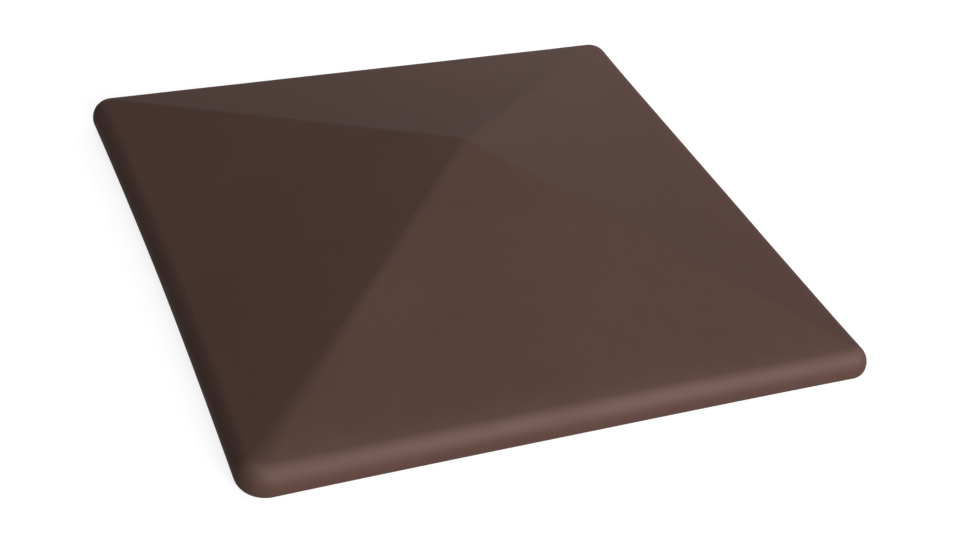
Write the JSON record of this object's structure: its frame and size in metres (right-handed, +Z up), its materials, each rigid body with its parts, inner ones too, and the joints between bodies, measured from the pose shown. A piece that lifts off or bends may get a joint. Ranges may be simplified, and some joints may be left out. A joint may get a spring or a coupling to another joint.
{
  "type": "pillar cap",
  "caption": "Square pyramid cap of brown fired clay for a brick pillar, with a rolled rim, soft hips, a drip groove and a hollow underside.",
  "frame": {"origin": "centre of the square bed, the flat face that rests on the pillar", "axes": "+Z up through the crown, X and Y square to the sides"},
  "size_m": [0.445, 0.445, 0.09],
  "materials": {
    "fired_clay": "satin brown, smooth on top and bare clay underneath"
  },
  "bodies": {
    "root": {"pillar_cap": "fired_clay"}
  },
  "joints": []
}
